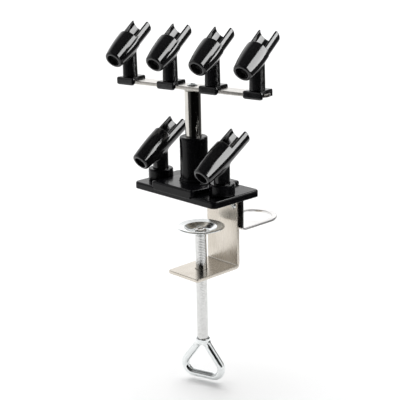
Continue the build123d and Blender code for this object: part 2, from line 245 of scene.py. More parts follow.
def box_field(p, low, high, radius):
    """A box with rounded edges between two corners."""
    low, high = np.array(low, float), np.array(high, float)
    q = np.abs(p - (low + high) / 2) - ((high - low) / 2 - radius)
    outside = np.sqrt((np.maximum(q, 0) ** 2).sum(-1))
    return outside + np.minimum(q.max(-1), 0) - radius


def post_field(p, x, y, low_z, high_z, radius, rounding):
    """An upright cylinder with rounded rims."""
    across = length(p[..., 0] - x, p[..., 1] - y) - radius
    along = np.abs(p[..., 2] - (low_z + high_z) / 2) - (high_z - low_z) / 2
    return smooth_max(across, along, 2 * rounding)


def path_field(p, points, radius):
    """A round wire along a polyline."""
    nearest = np.full(p.shape[:-1], np.inf)
    for start, end in zip(points[:-1], points[1:]):
        run = end - start
        share = np.clip(((p - start) @ run) / (run @ run), 0, 1)
        gap = p - start - share[..., None] * run
        nearest = np.minimum(nearest, (gap * gap).sum(-1))
    return np.sqrt(nearest) - radius


def field_slope(field, p, reach=0.02):
    """The field's gradient, by central differences."""
    slope = np.empty_like(p)
    for axis in range(3):
        shift = np.zeros(3)
        shift[axis] = reach
        slope[..., axis] = (field(p + shift) - field(p - shift)) / (2 * reach)
    return slope


def field_mesh(name, field, low, high, step):
    """A quad mesh of the surface where the field is zero, with the field's own normals.

    The box and the step are in mm. Each pass moves the points on to the surface, by 0.6 of a step at most.
    """
    projection_passes = 6
    low = np.array(low, float) - 2.2 * step
    sides = [np.arange(a, b + 2.6 * step, step) for a, b in zip(low, high)]
    inside = field(np.stack(np.meshgrid(*sides, indexing="ij"), axis=-1)) < 0
    nx, ny, nz = (n - 1 for n in inside.shape)
    corners = [(i, j, k) for i in (0, 1) for j in (0, 1) for k in (0, 1)]
    filled = sum(inside[i:i + nx, j:j + ny, k:k + nz].astype(int) for i, j, k in corners)
    active = (filled > 0) & (filled < 8)
    number = np.full(active.shape, -1)
    number[active] = np.arange(active.sum())
    points = low + (np.argwhere(active) + 0.5) * step
    for _ in range(projection_passes):
        slope = field_slope(field, points)
        move = slope * (field(points) / np.maximum((slope * slope).sum(-1), 0.04))[:, None]
        size = np.sqrt((move * move).sum(-1))
        points -= move * np.minimum(1, 0.6 * step / np.maximum(size, 1e-9))[:, None]
    quads = []
    for axis in range(3):
        near = np.take(inside, range(inside.shape[axis] - 1), axis)
        far = np.take(inside, range(1, inside.shape[axis]), axis)
        second, third = np.eye(3, dtype=int)[[(axis + 1) % 3, (axis + 2) % 3]]
        at = np.argwhere(near != far)
        outward = near[tuple(at.T)]
        ring = [number[tuple((at - shift).T)] for shift in (0 * second, second, second + third, third)]
        ring = np.stack(ring, axis=1)
        quads.append(np.where(outward[:, None], ring, ring[:, ::-1]))
    quads = np.concatenate(quads)
    normals = field_slope(field, points, 0.05)
    normals /= np.maximum(np.sqrt((normals * normals).sum(-1)), 1e-9)[:, None]
    return solid_mesh(name, points, quads, normals)


def solid_mesh(name, points, quads, normals=None):
    """A smooth mesh in metres from points in mm."""
    mesh = bpy.data.meshes.new(name)
    mesh.vertices.add(len(points))
    mesh.vertices.foreach_set("co", (np.asarray(points) * MM).ravel())
    mesh.loops.add(4 * len(quads))
    mesh.loops.foreach_set("vertex_index", np.asarray(quads).ravel())
    mesh.polygons.add(len(quads))
    mesh.polygons.foreach_set("loop_start", np.arange(len(quads)) * 4)
    mesh.update(calc_edges=True)
    mesh.validate()
    mesh.polygons.foreach_set("use_smooth", np.ones(len(mesh.polygons), bool))
    if normals is not None:
        mesh.normals_split_custom_set_from_vertices(normals.tolist())
    return mesh


def turned(mesh, angle):
    """The mesh, turned about its own z axis, so its box stays square to the frame."""
    mesh.transform(Matrix.Rotation(angle, 4, "Z"))
    return mesh


# ---------------------------------------------------------------- fields of the pieces

# The last number given to smooth_min, smooth_max and box_field is the size of a fillet or an edge, in mm.

def cradle_field(axis_height, mouth_reach, arm_reach, slot_length, mouth_radius, belly_radius,
                 arm_radius, stem_foot_radius, stem_top_radius, peg):
    """The field and the box of a tilted tube on a stem. The seat is the origin, y runs to the arms."""
    slot_start = arm_reach - slot_length
    mouth = -mouth_reach
    arc_u = (mouth + mouth_edge, (mouth + slot_start) / 2, slot_start)
    arc_r = (mouth_radius, belly_radius - belly_fall, belly_radius)
    arc = np.polyfit(arc_u, arc_r, 2)
    bore_u = (mouth + nose_bore_length, mouth + nose_bore_length + bore_cone_length)
    bore_r = (nose_bore_radius, bore_radius)

    def field(p):
        x, y, z = p[..., 0], p[..., 1], p[..., 2] - axis_height
        along = y * math.cos(tilt) + z * math.sin(tilt)
        up = z * math.cos(tilt) - y * math.sin(tilt)
        across = length(x, up)
        skin = np.where(along < slot_start, np.polyval(arc, np.minimum(along, slot_start)), arm_radius)
        tube = smooth_max(across - skin, mouth - along, 2 * mouth_edge)
        tube = smooth_max(tube, along - arm_reach, 0.8)
        rise = np.clip(p[..., 2] / axis_height, 0, 1)
        stem_radius = stem_foot_radius + (stem_top_radius - stem_foot_radius) * rise
        stem = smooth_max(length(x, y) - stem_radius, -p[..., 2], 0.6)
        stem = np.maximum(stem, z)
        solid = smooth_min(tube, stem, 1.8)
        solid = smooth_max(solid, np.interp(along, bore_u, bore_r) - across, 0.5)
        slot = np.maximum(slot_start - along, arm_edge_height - up)
        solid = smooth_max(solid, -slot, 0.7)
        if peg:
            peg_bore = np.maximum(length(x, y) - clip_peg_radius - fit, p[..., 2] - peg_bore_depth)
            solid = np.maximum(solid, -peg_bore)
        return solid

    rise = belly_radius * math.sin(tilt)
    low = (-belly_radius, -mouth_reach * math.cos(tilt) - rise, 0)
    arm_y, arm_z = arm_reach * math.cos(tilt), axis_height + arm_reach * math.sin(tilt)
    high = (belly_radius, arm_y + rise, arm_z + rise)
    return field, low, high


def rounded_rectangle(u, v, half_u, half_v, corner):
    """A flat outline with round corners, about its centre."""
    q_u, q_v = np.abs(u) - half_u + corner, np.abs(v) - half_v + corner
    return length(np.maximum(q_u, 0), np.maximum(q_v, 0)) + np.minimum(np.maximum(q_u, q_v), 0) - corner


def clip_field(p):
    """A clip round the bar. The origin is on the bar's top face, x runs along the bar."""
    x, y, z = p[..., 0], p[..., 1], p[..., 2]
    front, rear = -bar_half_width - fit - clip_wall, bar_half_width + fit + clip_rear_wall
    top, under_bar = fit + clip_plate_thickness, -sheet - fit
    wide, narrow = clip_half_width, clip_tongue_half_width
    step_y = front + clip_front_depth

    face_z, face_half = (top - clip_front_drop) / 2, (top + clip_front_drop) / 2
    face = rounded_rectangle(x, z - face_z, wide, face_half, clip_corner)
    block = smooth_max(face, np.abs(y - (front + step_y) / 2) - clip_front_depth / 2, clip_corner)
    block = np.maximum(block, np.minimum(fit - z, y - front - clip_wall))

    tongue_start = step_y - clip_tongue_overlap
    tongue_y, tongue_half = (tongue_start + rear) / 2, (rear - tongue_start) / 2
    tongue = rounded_rectangle(x, y - tongue_y, narrow, tongue_half, clip_tongue_corner)
    tongue = smooth_max(tongue, smooth_max(z - top, y - rear, clip_rear_rounding), 0.9)
    hook = np.maximum(-clip_rear_drop - z, rear - clip_rear_wall - y)
    tongue = smooth_max(tongue, np.minimum(fit - z, hook), 0.5)

    front_nib_half, rear_nib_half = wide - clip_front_nib_inset, narrow - clip_rear_nib_inset
    front_nib_low = (-front_nib_half, front + 0.4, -clip_front_drop)
    front_nib_high = (front_nib_half, front + clip_wall + clip_nib, under_bar)
    rear_nib_low = (-rear_nib_half, rear - clip_rear_wall - clip_nib, -clip_rear_drop)
    rear_nib_high = (rear_nib_half, rear - 1, under_bar)
    front_nib = box_field(p, front_nib_low, front_nib_high, 0.3)
    rear_nib = box_field(p, rear_nib_low, rear_nib_high, 0.25)

    peg = post_field(p, 0, stem_offset_y, 0.3, top + clip_peg_length, clip_peg_radius, clip_peg_edge)
    solid = block
    for other in (tongue, front_nib, rear_nib, peg):
        solid = smooth_min(solid, other, 0.3)
    slot_low = (-wide - 2, -bar_half_width - fit, under_bar)
    slot = box_field(p, slot_low, (wide + 2, bar_half_width + fit, fit), 0.1)
    return np.maximum(solid, -slot)


def socket_field(p):
    """A socket with its bore on the z axis and its foot at z 0."""
    solid = post_field(p, 0, 0, 0, socket_height, socket_radius, 0.8)
    return smooth_max(solid, socket_bore_radius - length(p[..., 0], p[..., 1]), 0.8)


saddle_low, saddle_high = node_box("mast_saddle")
base_low, base_high = node_box("base_plate")
mast_low, mast_high = node_box("mast_tube")
bracket_low, bracket_high = node_box("clamp_bracket")
ring_low, ring_high = node_box("ring_bracket")
cup_low, cup_high = node_box("foot_cup")
screw_low, screw_high = node_box("clamp_screw")
nut_low, nut_high = node_box("clamp_nut")
hub_low, hub_high = node_box("handle_hub")
loop_low = node_box("handle_loop")[0]
screw_x, screw_y = (screw_low + screw_high)[:2] / 2
base_screw_spots = [(x, y) for x in (-base_screw_x, base_screw_x) for y in base_screw_ys]


def saddle_field(p):
    """The saddle over the base, with the mast's sleeve."""
    foot_z = base_high[2]
    middle = (saddle_low + saddle_high) / 2
    half = (saddle_high - saddle_low) / 2
    top = foot_z + saddle_front_thickness
    fall = (saddle_front_thickness - saddle_rear_thickness) / (2 * half[1])
    x, y = p[..., 0] - middle[0], p[..., 1] - middle[1]
    outline = rounded_rectangle(x, y, half[0], half[1], saddle_corner)
    slope = p[..., 2] - top + fall * (p[..., 1] - saddle_low[1])
    lip = smooth_max(outline, np.abs(p[..., 0]) - half[0] + saddle_corner, 0.8)
    skirt = smooth_max(lip, saddle_low[2] - p[..., 2], 0.6)
    solid = np.minimum(np.maximum(outline, foot_z - p[..., 2]), skirt)
    solid = smooth_max(solid, slope, saddle_edge)
    solid = np.maximum(solid, -box_field(p, base_low - fit, base_high + fit, 1.0))
    foot = post_field(p, 0, 0, foot_z + 1, top + sleeve_foot_height, sleeve_foot_radius, 0.6)
    sleeve = post_field(p, 0, 0, foot_z + 1, saddle_high[2], sleeve_radius, 0.9)
    solid = smooth_min(solid, foot, 0.8)
    solid = smooth_min(solid, sleeve, 0.8)
    bore = np.maximum(length(p[..., 0], p[..., 1]) - mast_radius, top - p[..., 2])
    return smooth_max(solid, -bore, 0.5)


def base_field(p):
    """The base plate: round upright corners and a rounded edge all round the top."""
    low, high = base_low[:2] + base_corner, base_high[:2] - base_corner
    q = np.maximum(np.maximum(low - p[..., :2], p[..., :2] - high), 0)
    outline = length(q[..., 0], q[..., 1]) - base_corner
    side = np.maximum(base_low[:2] - p[..., :2], p[..., :2] - base_high[:2]).max(-1)
    outline = np.where(outline > 0.01 - base_corner, outline, np.maximum(side, -base_corner))
    solid = smooth_max(outline, p[..., 2] - base_high[2], base_edge)
    return smooth_max(solid, base_low[2] - p[..., 2], 0.5)


def bar_field(p):
    """The flat bar about its own centre: x along it, round ends, top face at z 0."""
    straight = np.maximum(np.abs(p[..., 0]) - bar_half_length + bar_half_width, 0)
    outline = length(straight, p[..., 1]) - bar_half_width
    middle = (fit - sheet) / 2
    return smooth_max(outline, np.abs(p[..., 2] - middle) + middle, 0.6)


def mast_field(p):
    """The mast: an open tube."""
    tube = np.abs(length(p[..., 0], p[..., 1]) - mast_radius + mast_wall / 2) - mast_wall / 2
    ends = np.maximum(mast_low[2] - p[..., 2], p[..., 2] - mast_high[2])
    return smooth_max(tube, ends, 0.5)


def bracket_field(p):
    """The folded clamp: two flanges and a back plate of one sheet."""
    x, y, z = p[..., 0], p[..., 1], p[..., 2]
    back_y = bracket_high[1] - sheet / 2
    half_height = (bracket_high[2] - bracket_low[2] - sheet) / 2
    mid_z = (bracket_high[2] + bracket_low[2]) / 2
    inward = back_y - y
    high = np.abs(z - mid_z)
    corner_in, corner_up = bend_radius - inward, high - (half_height - bend_radius)
    arc = np.abs(length(np.maximum(corner_in, 0), np.maximum(corner_up, 0)) - bend_radius)
    plate = np.where((corner_in > 0) & (corner_up > 0), arc, np.minimum(
        np.where(corner_up <= 0, np.abs(inward), np.inf),
        np.where(corner_in <= 0, np.abs(high - half_height), np.inf),
    ))
    rim = smooth_max(np.abs(x) - bracket_high[0], bracket_low[1] - y, flange_corner)
    solid = smooth_max(plate - sheet / 2, rim, 0.6)
    hole = np.maximum(length(x - screw_x, y - screw_y) - screw_hole_radius, z - mid_z)
    solid = smooth_max(solid, -hole, 0.5)
    for spot_x, spot_y in base_screw_spots:
        widening = np.clip(countersink_depth - z, 0, countersink_depth)
        cone = length(x - spot_x, y - spot_y) - (countersink_radius - countersink_depth) - widening
        solid = np.maximum(solid, -np.maximum(cone, mid_z - z))
    return solid


def ring_field(p):
    """The ring bracket: a leg behind the clamp and a plate with the hole."""
    x, y, z = p[..., 0], p[..., 1], p[..., 2]
    half_width = ring_high[0]
    centre_y = ring_high[1] - half_width
    plan = length(x, np.maximum(y - centre_y, 0)) - half_width
    leg = np.maximum(y - ring_low[1] - ring_sheet, z - ring_high[2])
    plate = z - ring_low[2] - ring_sheet
    shape = smooth_min(leg, plate, ring_inner_bend)
    shape = smooth_max(shape, smooth_max(ring_low[1] - y, ring_low[2] - z, ring_outer_bend), 0.4)
    shape = smooth_max(shape, plan, 0.6)
    plate_top = np.where(y < centre_y - ring_hole_radius, -np.inf, plate)
    shape = smooth_max(shape, plate_top, 0.4)
    return smooth_max(shape, ring_hole_radius - length(x, y - centre_y), 0.5)


def hex_field(flats, low_z, high_z, bore, x=0.0, y=0.0):
    """A hexagon nut, chamfered at both faces."""
    facets = (math.pi / 2, math.pi / 6, -math.pi / 6)

    def field(p):
        px, py = p[..., 0] - x, p[..., 1] - y
        sides = [np.abs(px * math.cos(a) + py * math.sin(a)) for a in facets]
        height = np.abs(p[..., 2] - (low_z + high_z) / 2) - (high_z - low_z) / 2
        solid = smooth_max(np.maximum.reduce(sides) - flats / 2, height, 0.3)
        round_side = length(px, py)
        chamfer = (round_side - flats * nut_chamfer_start) * 0.5 + height * 0.87
        solid = smooth_max(solid, chamfer, 0.3)
        return smooth_max(solid, bore - round_side, 0.4)

    return field


def screw_field(radius, height, shank_radius, shank_length, countersunk=False):
    """A screw along z with a cross recess. Its head seats on z 0."""
    top = 0.0 if countersunk else height
    recess_depth = 0.55 * max(height, 1.6)
    recess_half_width, recess_reach, recess_taper = 0.17 * radius, 0.52 * radius, 0.12

    def field(p):
        across = length(p[..., 0], p[..., 1])
        z = p[..., 2]
        if countersunk:
            head = np.maximum(across - radius - z, np.maximum(z, -z - radius + shank_radius))
        else:
            sphere_radius = (radius * radius + height * height) / (2 * height) * 1.05
            dome = length(across, z - height + sphere_radius) - sphere_radius
            head = smooth_max(smooth_max(across - radius, dome, 0.5), -z, 0.3)
        shank = np.maximum(across - shank_radius, np.maximum(z, -shank_length - z))
        x, y = np.abs(p[..., 0]), np.abs(p[..., 1])
        reach = recess_reach - recess_taper * (top - z)
        arms = np.minimum(
            np.maximum(x - recess_half_width, y - reach),
            np.maximum(y - recess_half_width, x - reach),
        )
        recess = np.maximum(arms, top - recess_depth - z)
        return smooth_max(np.minimum(head, shank), -recess, 0.15)

    return field


def screw_mesh(name, size, step):
    """The mesh of a screw of this size. A pan head stands above z 0, a countersunk head ends there."""
    radius = size["radius"]
    bottom, top = -size["shank_length"], screw_margin
    if "countersunk" not in size:
        bottom, top = bottom - screw_margin, top + size["height"]
    return field_mesh(name, screw_field(**size), (-radius, -radius, bottom), (radius, radius, top), step)


def cup_field(p):
    """The spun cup: a wide lip, a dish, a flat floor and the collar round the neck."""
    across = length(p[..., 0] - screw_x, p[..., 1] - screw_y)
    flat = np.stack([across, p[..., 2]], axis=-1)
    half = cup_sheet / 2
    rim_radius, rim_z = cup_high[0], cup_high[2]
    floor_z = cup_low[2] + cup_collar_height + cup_sheet
    bowl_turn = np.linspace(0, 1, 9)
    bowl_r = rim_radius - cup_lip_width + (cup_floor_radius - rim_radius + cup_lip_width) * bowl_turn
    bowl_drop = (rim_z - cup_lip_fall - floor_z) * (1 - (1 - bowl_turn) ** cup_bowl_curve)
    line = [(neck_radius + fit + half, floor_z - half)]
    line += [(r, rim_z - cup_lip_fall - half - drop) for r, drop in zip(bowl_r[::-1], bowl_drop[::-1])]
    line += [(rim_radius - half - 0.4, rim_z - half), (rim_radius - half, rim_z - half - 0.15)]
    skin = path_field(flat, np.array(line), half)
    collar_middle, collar_wall = (neck_radius + cup_collar_radius) / 2, cup_collar_radius - neck_radius
    collar = np.abs(across - collar_middle) - collar_wall / 2 + fit
    collar_half = (cup_collar_height + half) / 2
    collar = smooth_max(collar, np.abs(p[..., 2] - cup_low[2] - collar_half) - collar_half, 0.6)
    return smooth_min(skin, collar, 1.0)


def wire_path():
    """Points along the handle's wire, in its own plane, with round corners."""
    foot_z = loop_low[2] + handle_wire_radius
    start_z = hub_low[2] + handle_leg_start
    inward = np.array((handle_leg_x - handle_corner_x, start_z - foot_z))
    inward /= np.hypot(*inward)
    inner_angle = math.acos(-inward[0])
    cut = handle_corner_radius / math.tan(inner_angle / 2)
    centre = np.array((handle_corner_x - cut, foot_z + handle_corner_radius))
    sweep = np.linspace(math.pi / 2 - inner_angle, -math.pi / 2, 15)
    corner = centre + handle_corner_radius * np.stack([np.cos(sweep), np.sin(sweep)], axis=1)
    right = np.vstack([[(handle_leg_x, start_z)], corner])
    left = right[::-1] * (-1, 1)
    flat = np.vstack([right, left])
    return np.stack([flat[:, 0], 0 * flat[:, 0], flat[:, 1]], axis=1)


def handle_field():
    """The loop of round wire, joined to the hub that sits on the rod's lower end."""
    points = wire_path()
    hub_centre_z = (hub_low[2] + hub_high[2]) / 2
    hub_straight = np.array(hub_half) - (hub_corner, hub_corner, 0)

    def field(p):
        wire = path_field(p, points, handle_wire_radius)
        wire = np.maximum(wire, p[..., 2] - hub_low[2] - wire_overlap)
        q = np.abs(p - (0, 0, hub_centre_z)) - hub_straight
        outline = length(np.maximum(q[..., 0], 0), np.maximum(q[..., 1], 0)) - hub_corner
        hub = smooth_max(outline, q[..., 2], hub_edge)
        solid = smooth_min(wire, hub, 2.2)
        bore = np.maximum(length(p[..., 0], p[..., 1]) - screw_radius, screw_low[2] - p[..., 2])
        return smooth_max(solid, -bore, 0.3)

    return field


def rod_mesh(name):
    """The clamp screw: a rolled thread, a plain neck and the swaged end, as one skin."""
    around, steps_a_turn = 72, 9
    turn = np.arange(around) * 2 * math.pi / around
    bottom, neck_low = screw_low[2], cup_low[2] - 0.1
    swage_low = screw_high[2] - swage_height
    body_high = neck_low - screw_shoulder
    body_z = np.arange(bottom + screw_chamfer, body_high, thread_pitch / steps_a_turn)
    body_z = np.append(body_z, body_high)
    phase = (body_z[:, None] / thread_pitch - turn[None, :] / (2 * math.pi)) % 1.0
    groove = np.clip(1.0 - np.abs(phase - 0.5) * 2 / thread_groove_share, 0, 1) ** 1.2
    to_end = np.minimum(body_z - bottom - 1.0, neck_low - 3.0 - body_z)
    fade = np.clip(to_end / thread_fade, 0, 1)[:, None]
    body_r = screw_radius - thread_depth * groove * fade
    ends_low = [(0.0, bottom), (screw_radius - 0.9, bottom), (screw_radius - 0.3, bottom + 0.25)]
    neck = [
        (screw_radius - 0.1, neck_low - 0.9), (screw_radius - 0.8, neck_low),
        (neck_radius + 0.1, neck_low + 0.02), (neck_radius, neck_low + 0.2),
        (neck_radius, swage_low - 0.02),
    ]
    swage = [
        (swage_radius - 0.1, 0.0), (swage_radius, 0.15), (swage_radius, 0.85),
        (swage_radius - 0.25, 1.25), (swage_radius - 0.75, 1.6), (swage_radius - 1.6, 1.84),
        (3.0, swage_height), (2.6, 1.75), (2.2, 1.2), (1.2, 0.95), (0.0, 0.9),
    ]
    ends_high = neck + [(r, swage_low + rise) for r, rise in swage]
    rings = [(np.full(around, r), z) for r, z in ends_low]
    rings += list(zip(body_r, body_z))
    rings += [(np.full(around, r), z) for r, z in ends_high]
    points = np.concatenate([
        np.stack([screw_x + r * np.cos(turn), screw_y + r * np.sin(turn), np.full(around, z)], axis=1)
        for r, z in rings
    ])
    row = np.arange(len(rings) - 1)[:, None] * around
    here, beside = row + np.arange(around), row + (np.arange(around) + 1) % around
    quads = np.stack([here, beside, beside + around, here + around], axis=-1).reshape(-1, 4)
    return solid_mesh(name, points, quads)


# ---------------------------------------------------------------- materials

def new_material(name, metallic, specular=0.5):
    """A new material, its node tree and its Principled shader."""
    made = bpy.data.materials.new(name)
    made.use_nodes = True
    shader = made.node_tree.nodes["Principled BSDF"]
    shader.inputs["Metallic"].default_value = metallic
    shader.inputs["Specular IOR Level"].default_value = specular
    return made, made.node_tree, shader


def node(tree, kind, **settings):
    """A new node. A setting is one of its inputs or one of its properties."""
    made = tree.nodes.new(kind)
    for key, value in settings.items():
        if key in made.inputs:
            made.inputs[key].default_value = value
        else:
            setattr(made, key, value)
    return made


def noise(tree, scale, detail=3.0, stretch=(1, 1, 1)):
    """Noise in object space, with its features stretched along the axes with a low number."""
    place = node(tree, "ShaderNodeTexCoord")
    mapping = node(tree, "ShaderNodeMapping")
    mapping.inputs["Scale"].default_value = stretch
    texture = node(tree, "ShaderNodeTexNoise", Scale=scale, Detail=detail)
    tree.links.new(place.outputs["Object"], mapping.inputs["Vector"])
    tree.links.new(mapping.outputs["Vector"], texture.inputs["Vector"])
    return texture.outputs["Fac"]


def ramp(tree, source, low, high, start=0.3, end=0.7):
    """Maps a grey value to between two colours or two numbers."""
    made = node(tree, "ShaderNodeValToRGB")
    made.color_ramp.elements[0].position = start
    made.color_ramp.elements[1].position = end
    for element, value in zip(made.color_ramp.elements, (low, high)):
        colour = (value, value, value) if isinstance(value, float) else value
        element.color = (*colour, 1)
    tree.links.new(source, made.inputs["Fac"])
    return made.outputs["Color"]


def bump(tree, shader, layers):
    """Stacks bumps. Each layer is a height source, a strength and a distance in metres."""
    below = None
    for source, strength, distance in layers:
        made = node(tree, "ShaderNodeBump", Strength=strength, Distance=distance)
        tree.links.new(source, made.inputs["Height"])
        if below:
            tree.links.new(below, made.inputs["Normal"])
        below = made.outputs["Normal"]
    tree.links.new(below, shader.inputs["Normal"])


def plastic(name, dark, light, roughness, specular=0.5):
    """Moulded plastic: faint flow marks, fine grain and light rub marks."""
    made, tree, shader = new_material(name, 0.0, specular)
    links = tree.links
    links.new(ramp(tree, noise(tree, 90), dark, light), shader.inputs["Base Color"])
    rubbed = ramp(tree, noise(tree, 260, 6.0), roughness - 0.03, roughness + 0.06, 0.4, 0.8)
    links.new(rubbed, shader.inputs["Roughness"])
    bump(tree, shader, [(noise(tree, 45, 1.0), 0.05, 0.0002), (noise(tree, 1800, 2.0), 0.03, 0.00001)])
    return made


def metal(name, dark, light, roughness, spread, stretch, grain):
    """Plated or brushed metal: the grain runs along the axes with a low stretch."""
    made, tree, shader = new_material(name, 1.0)
    links = tree.links
    links.new(ramp(tree, noise(tree, 55, 4.0), dark, light), shader.inputs["Base Color"])
    fine = noise(tree, 900, 3.0, stretch)
    links.new(ramp(tree, fine, roughness - spread, roughness + spread), shader.inputs["Roughness"])
    bump(tree, shader, [(noise(tree, 60, 1.0), 0.2, 0.0003), (fine, grain, 0.00002)])
    return made


def paint_front_shade(made, side_x, front_y, rear_y, low_z):
    """Painted shade: dark colour that stands in for shade on the front face of an upright strip, past
    side_x on both sides and above low_z, in mm.

    It fades out over the strip's cut edge, from front_y to rear_y.
    """
    tree = made.node_tree
    shader = tree.nodes["Principled BSDF"]
    plated = shader.inputs["Base Color"].links[0].from_socket
    place = node(tree, "ShaderNodeTexCoord")
    split = node(tree, "ShaderNodeSeparateXYZ")
    away = node(tree, "ShaderNodeMath", operation="ABSOLUTE")
    tree.links.new(place.outputs["Object"], split.inputs[0])
    tree.links.new(split.outputs["X"], away.inputs[0])
    share = None
    spans = (
        (away.outputs["Value"], side_x, side_x + 0.1),
        (split.outputs["Y"], rear_y, front_y),
        (split.outputs["Z"], low_z, low_z + 1.0),
    )
    for source, clear, full in spans:
        span = node(tree, "ShaderNodeMapRange")
        span.inputs["From Min"].default_value = clear * MM
        span.inputs["From Max"].default_value = full * MM
        tree.links.new(source, span.inputs["Value"])
        if share is None:
            share = span.outputs["Result"]
            continue
        both = node(tree, "ShaderNodeMath", operation="MULTIPLY")
        tree.links.new(share, both.inputs[0])
        tree.links.new(span.outputs["Result"], both.inputs[1])
        share = both.outputs["Value"]
    # painted shade: a dark mottled colour mixed over the plated colour on the strip's front
    painted_shade = ramp(tree, noise(tree, 900, 4.0), (0.006, 0.006, 0.006), (0.020, 0.019, 0.018))
    mix = node(tree, "ShaderNodeMixRGB")
    tree.links.new(share, mix.inputs["Fac"])
    tree.links.new(plated, mix.inputs["Color1"])
    tree.links.new(painted_shade, mix.inputs["Color2"])
    tree.links.new(mix.outputs["Color"], shader.inputs["Base Color"])


def zinc(name, dark, light, roughness):
    """Zinc plate: fine crystals with small dull spots."""
    made, tree, shader = new_material(name, 1.0)
    links = tree.links
    place = node(tree, "ShaderNodeTexCoord")
    crystals = node(tree, "ShaderNodeTexVoronoi", Scale=420.0)
    links.new(place.outputs["Object"], crystals.inputs["Vector"])
    grown = crystals.outputs["Distance"]
    dull = ramp(tree, noise(tree, 700, 5.0), roughness - 0.06, roughness + 0.1)
    links.new(ramp(tree, grown, dark, light, 0.0, 0.8), shader.inputs["Base Color"])
    links.new(dull, shader.inputs["Roughness"])
    bump(tree, shader, [(grown, 0.03, 0.00003), (noise(tree, 1800, 3.0), 0.05, 0.00002)])
    return made


upright_grain, level_grain, mast_grain = (1, 0.05, 0.05), (0.04, 1, 1), (1, 1, 0.1)
zinc_colours = (0.76, 0.79, 0.79), (0.88, 0.90, 0.90)

black = plastic("gloss_black_plastic", (0.0045, 0.0045, 0.0052), (0.0075, 0.0075, 0.0082), roughness=0.12)
satin = plastic(
    "satin_black_plastic", (0.0025, 0.0025, 0.0032), (0.0045, 0.0045, 0.0055), roughness=0.20, specular=0.2
)
nickel = metal(
    "brushed_satin_nickel", (0.62, 0.57, 0.50), (0.72, 0.67, 0.60),
    roughness=0.27, spread=0.04, stretch=upright_grain, grain=0.12,
)
ring_nickel = metal(
    "ring_nickel", (0.74, 0.73, 0.72), (0.84, 0.83, 0.82),
    roughness=0.20, spread=0.05, stretch=upright_grain, grain=0.2,
)
# painted shade on the ring strip's front sliver, past the clamp's sides and above the plate
paint_front_shade(
    ring_nickel, side_x=bracket_high[0] - 1.0,
    front_y=ring_low[1] + 0.5, rear_y=ring_low[1] + ring_sheet, low_z=ring_low[2] + ring_sheet,
)
bar_steel = metal(
    "brushed_bar_steel", (0.46, 0.44, 0.41), (0.66, 0.63, 0.59),
    roughness=0.18, spread=0.07, stretch=level_grain, grain=0.3,
)
chrome = metal(
    "mast_chrome", (0.58, 0.56, 0.52), (0.68, 0.66, 0.62),
    roughness=0.08, spread=0.03, stretch=mast_grain, grain=0.06,
)
zinc_plate = zinc("zinc_plate", *zinc_colours, roughness=0.16)
rod_zinc = zinc("rod_zinc", (0.61, 0.61, 0.60), (0.71, 0.71, 0.70), roughness=0.16)
screw_plate = zinc("fastener_zinc", *zinc_colours, roughness=0.26)
nylon = plastic("washer_nylon", (0.62, 0.61, 0.57), (0.72, 0.71, 0.67), roughness=0.42)


# ---------------------------------------------------------------- pieces

def piece(name, mesh, material, body, nodes, place=None):
    """Puts a mesh in the scene as one piece that rides on a body and stands for CAD nodes.

    Pieces that share a mesh share its material too. Without a place the mesh is already in the frame.
    """
    made = bpy.data.objects.new(name, mesh)
    bpy.context.scene.collection.objects.link(made)
    if not mesh.materials:
        mesh.materials.append(material)
    if place is not None:
        made.matrix_world = place
    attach(made, body)
    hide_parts(*nodes)


def placed(point, turn=0.0, axis="Z"):
    """A matrix that moves the origin to a point in mm after a turn."""
    return Matrix.Translation(Vector(point) * MM) @ Matrix.Rotation(turn, 4, axis)


def build(name, field, low, high, step, material, body):
    """Makes one piece from a field in the frame. It stands for the CAD node of its name."""
    piece(name, field_mesh(name, field, low, high, step), material, body, [name])


build("base_plate", base_field, base_low, base_high, base_step, satin, "stand")
build("mast_saddle", saddle_field, saddle_low, saddle_high, body_step, satin, "stand")
build("mast_tube", mast_field, mast_low, mast_high, body_step, chrome, "stand")
build("clamp_bracket", bracket_field, bracket_low, bracket_high, body_step, nickel, "stand")
build("ring_bracket", ring_field, ring_low, ring_high, body_step, ring_nickel, "stand")
nut_field = hex_field(nut_flats, nut_low[2], nut_high[2], screw_radius + fit, screw_x, screw_y)
build("clamp_nut", nut_field, nut_low, nut_high, cup_and_nut_step, zinc_plate, "stand")
build("foot_cup", cup_field, cup_low, cup_high, cup_and_nut_step, zinc_plate, "foot")
piece("clamp_screw", rod_mesh("clamp_screw"), rod_zinc, "screw", ["clamp_screw"])

loop_reach = handle_corner_x + handle_wire_radius
handle_box = (-loop_reach, -hub_half[1], loop_low[2]), (loop_reach, hub_half[1], hub_high[2])
handle_mesh = turned(field_mesh("handle", handle_field(), *handle_box, bar_and_handle_step), handle_heading)
handle_nodes = ["handle_loop", "handle_hub"]
piece("handle", handle_mesh, zinc_plate, "screw", handle_nodes, placed((screw_x, screw_y, 0)))

bar_top = node_box("top_bar")[1][2]
bar_box = (-bar_half_length, -bar_half_width, -sheet), (bar_half_length, bar_half_width, 0)
bar_mesh = turned(field_mesh("top_bar", bar_field, *bar_box, bar_and_handle_step), bar_yaw)
piece("top_bar", bar_mesh, bar_steel, "bar", ["top_bar"], placed((0, 0, bar_top)))

